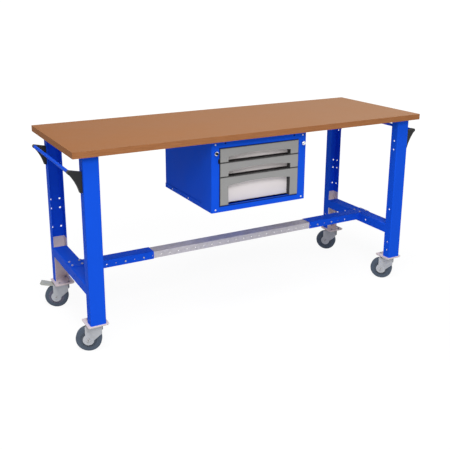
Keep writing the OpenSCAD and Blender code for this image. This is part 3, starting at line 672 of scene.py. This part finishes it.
print("slots:", len(materials), "nodes with their own finish:", len(own_finish))

# %% [markdown]
# ### Edges
# The CAD parts come as flat triangles with hard edges, while a real edge has a small radius that
# catches light. Modelling the parts again would only lose their sizes, so modifiers do it: a weld
# joins the triangles, and a narrow bevel takes the knife edge off what is moulded or sawn. The
# faces are smoothed, and sharp folds are kept. A bevel only takes material off, so the part stays
# inside its box.

# %% Finishing every CAD node
BEVEL_WIDTHS = {
    "worktop_wood": 0.0012, "bracket_plastic": 0.0012, "front_plastic": 0.0012,
    "rim_plastic": 0.0008, "cabinet_paint": 0.0005, "knob_plastic": 0.0008, "lock_chrome": 0.0006,
}
FOLD, SPLIT_ANGLE = math.radians(30), math.radians(34)
WELD_REACH = 0.00001


def soften(part, width):
    """Welds, bevels and smooths a part without touching its own vertices."""
    weld = part.modifiers.new("Weld", "WELD")
    weld.merge_threshold = WELD_REACH
    if width:
        bevel = part.modifiers.new("Edge", "BEVEL")
        bevel.width = width
        bevel.segments = 2
        bevel.limit_method = "ANGLE"
        bevel.angle_limit = FOLD
    for face in part.data.polygons:
        face.use_smooth = True
    folds = part.modifiers.new("Sharp folds", "EDGE_SPLIT")
    folds.split_angle = SPLIT_ANGLE
    flat = part.modifiers.new("Flat faces", "WEIGHTED_NORMAL")
    flat.weight = 100


def dress(part, material):
    """Gives a part its material."""
    part.data.materials.clear()
    part.data.materials.append(material)


for row in record["subparts"]:
    node, slot = nodes[row["node"]], row["material_slot"]
    dress(node, own_finish.get(row["node"], materials[slot]))
    soften(node, BEVEL_WIDTHS.get(slot, 0.0))
print("finished nodes:", len(record["subparts"]))

# %% [markdown]
# ## Fasteners
# Small screws, rivets and a catch complete the cabinet. A mesh made in code becomes a piece in a
# few steps: smooth faces with sharp folds, its place, a material, and an object in the scene.
# Last, it rides on the body that it is fixed to, so that it moves when that body moves.

# %% From mesh to piece


def link_object(name, data):
    """A new object in the scene."""
    made = bpy.data.objects.new(name, data)
    bpy.context.scene.collection.objects.link(made)
    return made


def new_piece(name, mesh, body, slot, finish=None, place=Matrix()):
    """Makes a piece of a mesh in work, moved to its place, and lets it ride on its body."""
    data = bpy.data.meshes.new(name)
    mesh.to_mesh(data)
    mesh.free()
    for face in data.polygons:
        face.use_smooth = True
    data.set_sharp_from_angle(angle=FOLD)
    data.transform(place)
    data.materials.append(finish or materials[slot])
    piece = link_object(name, data)
    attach(piece, body)
    print("piece:", name, "faces:", len(data.polygons), "on:", body)


# %% [markdown]
# ### Turned shapes
# Screw heads, rivets and bolt ends are round. A cylinder with bevels comes close, but a profile
# spun round an axis gives any curve, and its inner rings can follow a hexagon, which makes the
# recess for a key.

# %% Turned shapes
TURNS = 36
UP = Vector((0, 0, 1))


def hexagon(angle, across):
    """Distance from the middle to a hexagon's side at this angle."""
    sector = math.pi / 3
    return across / 2 / math.cos((angle + sector / 2) % sector - sector / 2)


def turned_piece(name, profile, at, axis, body, slot, recess=0.0, finish=None):
    """Spins (radius, height) points round an axis; a negative radius follows the recess."""
    mesh = bmesh.new()
    rings = []
    for radius, height in profile:
        ring = []
        for step in range(TURNS):
            angle = 2 * math.pi * step / TURNS
            reach = hexagon(angle, recess) if radius < 0 else radius
            ring.append(mesh.verts.new((reach * math.cos(angle), reach * math.sin(angle), height)))
        rings.append(ring)
    for inner, outer in zip(rings, rings[1:]):
        for step in range(TURNS):
            after = (step + 1) % TURNS
            mesh.faces.new((inner[step], inner[after], outer[after], outer[step]))
    mesh.faces.new(list(reversed(rings[0])))
    mesh.faces.new(rings[-1])
    bmesh.ops.recalc_face_normals(mesh, faces=mesh.faces)
    turn = UP.rotation_difference(axis).to_matrix().to_4x4()
    new_piece(name, mesh, body, slot, finish, Matrix.Translation(at) @ turn)


# %% [markdown]
# ### Screw, rivet and block
# The screws have a button head with a six-sided recess, and the rivets a closed dome with a thin
# rim. Both profiles are shares of the radius, so one description serves every size. A block
# starts as a cube, and a bevel in the mesh rounds its edges.

# %% Screw, rivet and block
SUNK = -0.0003  # a foot goes this far into the face it sits on
BUTTON_TALL, DOME_TALL = 0.55, 0.4  # heights as shares of the radius
BUTTON_CURVE = ((0.55, 1.0), (0.8, 0.82), (0.96, 0.4))  # shares of the radius and the height
RECESS_FLOOR, RECESS_RIM, RECESS_ACROSS = 0.35, 0.98, 0.85
DOME_SHARES = (0.08, 0.3, 0.55, 0.75, 0.9, 0.97)


def socket_screw(name, at, axis, body, radius=0.0045):
    """A button head with a six-sided recess."""
    tall = radius * BUTTON_TALL
    profile = [(-1, tall * RECESS_FLOOR), (-1, tall * RECESS_RIM)]
    profile += [(radius * share, tall * level) for share, level in BUTTON_CURVE]
    profile += [(radius, 0.0), (radius, SUNK)]
    turned_piece(name, profile, at, axis, body, "bolt_zinc", radius * RECESS_ACROSS, screw_zinc_painted_light)


def dome_rivet(name, at, axis, body, radius):
    """A closed dome with a thin rim."""
    tall = radius * DOME_TALL
    profile = [(radius * share, tall * (1 - share ** 2) ** 0.5) for share in DOME_SHARES]
    profile += [(radius, 0.0), (radius, SUNK)]
    turned_piece(name, profile, at, axis, body, "cabinet_paint", finish=rivet_paint)


def rounded_block(name, corner, size, body, slot, radius=0.0015):
    """A box from its low corner and its size, with rounded edges."""
    mesh = bmesh.new()
    place = Matrix.Translation(corner + size / 2) @ Matrix.Diagonal(size.to_4d())
    bmesh.ops.create_cube(mesh, size=1.0, matrix=place)
    bmesh.ops.bevel(mesh, geom=mesh.edges[:], offset=radius, segments=3, affect="EDGES",
                    profile=0.5)
    new_piece(name, mesh, body, slot)


# %% [markdown]
# ### Fittings of the front frame
# The front frame is screwed at its four corners. Two small rivets, painted darker, sit in its
# head, and a black catch stands beside the foot of the top drawer. They are placed from the boxes
# of the frame and the drawer, so they follow if those change.

# %% Fittings of the front frame
FRONT = Vector((0, -1, 0))
SCREW_FROM_SIDE, SCREW_FROM_TOP, SCREW_FROM_FOOT = 0.022, 0.019, 0.015
RIVET_SHIFTS, RIVET_FROM_TOP, RIVET_RADIUS = (-0.201, 0.203), 0.017, 0.0045
CATCH_SIZE, CATCH_GAP, CATCH_DROP = Vector((0.010, 0.004, 0.022)), 0.0015, 0.001

frame_low, frame_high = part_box("front_frame")
head, foot = frame_high.z - SCREW_FROM_TOP, frame_low.z + SCREW_FROM_FOOT
for side, x in (("left", frame_low.x + SCREW_FROM_SIDE), ("right", frame_high.x - SCREW_FROM_SIDE)):
    for level, z in (("top", head), ("foot", foot)):
        spot = Vector((x, frame_low.y, z))
        socket_screw(f"frame_screw_{side}_{level}", spot, FRONT, "bench")

middle_x = (frame_low.x + frame_high.x) / 2
for side, shift in zip(("left", "right"), RIVET_SHIFTS):
    spot = Vector((middle_x + shift, frame_low.y, frame_high.z - RIVET_FROM_TOP))
    dome_rivet(f"head_rivet_{side}", spot, FRONT, "bench", RIVET_RADIUS)

drawer_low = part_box("drawer_front_top")[0]
catch_corner = Vector((drawer_low.x - CATCH_GAP - CATCH_SIZE.x, frame_low.y - CATCH_SIZE.y,
                       drawer_low.z - CATCH_DROP))
rounded_block("drawer_catch", catch_corner, CATCH_SIZE, "bench", "knob_plastic")

# %% [markdown]
# ### Screws of the floor tray
# The cabinet's floor is a tray, and its upstands are screwed to the side walls, two screws a
# side. The same button screw is used, a size smaller, with its axis turned to the side.

# %% Screws of the floor tray
LEFT, RIGHT = Vector((-1, 0, 0)), Vector((1, 0, 0))
TRAY_SHARES, TRAY_LIFT, TRAY_RADIUS = (0.34, 0.79), 0.011, 0.004

tray_low, tray_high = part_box("cabinet_floor")
for side, x, out in (("left", tray_low.x, LEFT), ("right", tray_high.x, RIGHT)):
    for end, share in zip(("front", "rear"), TRAY_SHARES):
        y = tray_low.y + share * (tray_high.y - tray_low.y)
        spot = Vector((x, y, tray_low.z + TRAY_LIFT))
        socket_screw(f"tray_screw_{side}_{end}", spot, out, "bench", TRAY_RADIUS)

# %% [markdown]
# ### Axle ends
# A small dark centre mark shows at each end of an axle bolt: the shade in its hole. A hole would
# have to be cut in the CAD part, which stays as it is, so a low dished disc of dark steel, painted
# shade, stands for it. The joint that the wheel rolls on gives its place, and it rides on the body
# that carries the fork.

# %% Axle centres
CENTRE_PROFILE = [(0.0005, -0.0002), (0.0012, 0.0), (0.0022, 0.0005), (0.0028, 0.0004),
                  (0.0030, SUNK)]
for corner in CORNERS:
    hinge = next(row for row in frame["joints"] if row["name"] == "roll_" + corner)
    middle, along = Vector(hinge["pos_m"]), Vector(hinge["axis"]).normalized()
    points = nodes["axle_" + corner].data.vertices
    reach = max((point.co - middle).dot(along) for point in points)
    for end, way in (("near", -1), ("far", 1)):
        turned_piece(f"axle_centre_{corner}_{end}", CENTRE_PROFILE, middle + along * reach * way,
                     along * way, "caster_" + corner, "bolt_zinc", finish=shaded_steel)

# %% [markdown]
# ## Floor, light and camera
# A product stands on a pale floor that runs out into plain white. More light on it would wash
# the bench out, so the floor partly glows instead: mostly glow under the bench, with a little
# matt white that keeps a faint shadow, and nothing but glow farther out. The glow is there for
# rays from the camera and for clear reflections, and lights nothing else.

# %% Floor
WHITE = (1.0, 1.0, 1.0, 1.0)
FLOOR_HALF, FLOOR_DROP = 120.0, 0.0005
GLOW, GLOW_NEAR, NEAR_REACH, FAR_REACH = 1.06, 0.88, 1.2, 4.0


def plain_seen(tree):
    """1 for rays from the camera, in clear reflections and through glass, and 0 for others."""
    seen = add(tree, "ShaderNodeLightPath").outputs
    shown = math_node(tree, "MAXIMUM", seen["Is Camera Ray"], seen["Is Glossy Ray"])
    return math_node(tree, "MAXIMUM", shown, seen["Is Transmission Ray"])


def floor_material():
    material = bpy.data.materials.new("Studio_floor")
    material.use_nodes = True
    tree = material.node_tree
    tree.nodes.clear()
    matt = give(add(tree, "ShaderNodeBsdfDiffuse"), Color=(0.8, 0.8, 0.8, 1.0))
    glow = give(add(tree, "ShaderNodeEmission"), Color=WHITE, Strength=GLOW)
    reach = give(add(tree, "ShaderNodeVectorMath", operation="LENGTH"), Vector=own_place(tree))
    share = spread(tree, reach.outputs["Value"], NEAR_REACH, FAR_REACH, to_low=GLOW_NEAR)
    blend = add(tree, "ShaderNodeMixShader")
    terms = (product(tree, plain_seen(tree), share), matt.outputs[0], glow.outputs[0])
    for slot, term in zip(blend.inputs, terms):
        feed(slot, term)
    give(add(tree, "ShaderNodeOutputMaterial"), Surface=blend.outputs[0])
    return material


def pale_floor():
    mesh = bmesh.new()
    bmesh.ops.create_grid(mesh, x_segments=2, y_segments=2, size=FLOOR_HALF)
    data = bpy.data.meshes.new("floor")
    mesh.to_mesh(data)
    mesh.free()
    data.materials.append(floor_material())
    floor = link_object("floor", data)
    floor.location.z = cad_box[0].z - FLOOR_DROP
    print("floor at:", round(floor.location.z, 5))


pale_floor()

# %% [markdown]
# ### World and lamps
# The world is plain white to the camera, but lights the bench only weakly. Two large soft lamps
# do the rest: the key lamp stands near, in front and to the left, and the high one hangs far up,
# so that it lights the long worktop evenly. A sky or a studio image would give reflections, but
# these finishes are nearly matt, and lamps are simpler to set. Together they give a level at
# which a colour renders about as it is written.

# %% World and lamps
WORLD_LEVEL = 0.285


def even_world(level):
    world = bpy.data.worlds.new("Studio")
    bpy.context.scene.world = world
    world.use_nodes = True
    tree = world.node_tree
    strength = spread(tree, plain_seen(tree), 0.0, 1.0, to_low=level)
    give(tree.nodes["Background"], Color=WHITE, Strength=strength)


def soft_lamp(name, at, aim, size, power):
    data = bpy.data.lights.new(name, "AREA")
    data.shape = "DISK"
    data.size = size
    data.energy = power
    lamp = link_object(name, data)
    lamp.location = at
    lamp.rotation_mode = "QUATERNION"
    lamp.rotation_quaternion = (Vector(aim) - Vector(at)).to_track_quat("-Z", "Y")
    print("lamp:", name, "watts:", power)


even_world(WORLD_LEVEL)
soft_lamp("key", at=(-1.4, -3.75, 3.8), aim=(0.3, 0, 0.5), size=2.2, power=103)
soft_lamp("high", at=(-2.4, -3.2, 11.5), aim=(0, 0, 0.5), size=4.6, power=580)

# %% [markdown]
# ## Camera
# A long lens stands to the left of the bench's front and looks slightly down. Tilting it farther
# would frame the bench as well, but would make the upright legs converge, so the lens is shifted
# instead.

# %% Camera
YAW, PITCH = 0.493, -0.275
camera_data = bpy.data.cameras.new("Camera")
camera_data.sensor_width = 36.0
camera_data.lens = 55.66
camera_data.shift_x = 0.0231
camera_data.shift_y = -0.0929
camera_data.clip_end = 200.0
camera = link_object("Camera", camera_data)
camera.location = (-1.8371, -3.2004, 1.6848)
camera.rotation_euler = (math.pi / 2 + PITCH, 0.0, -YAW)
bpy.context.scene.camera = camera
bpy.context.scene.view_settings.view_transform = "Standard"
print("lens:", camera_data.lens)
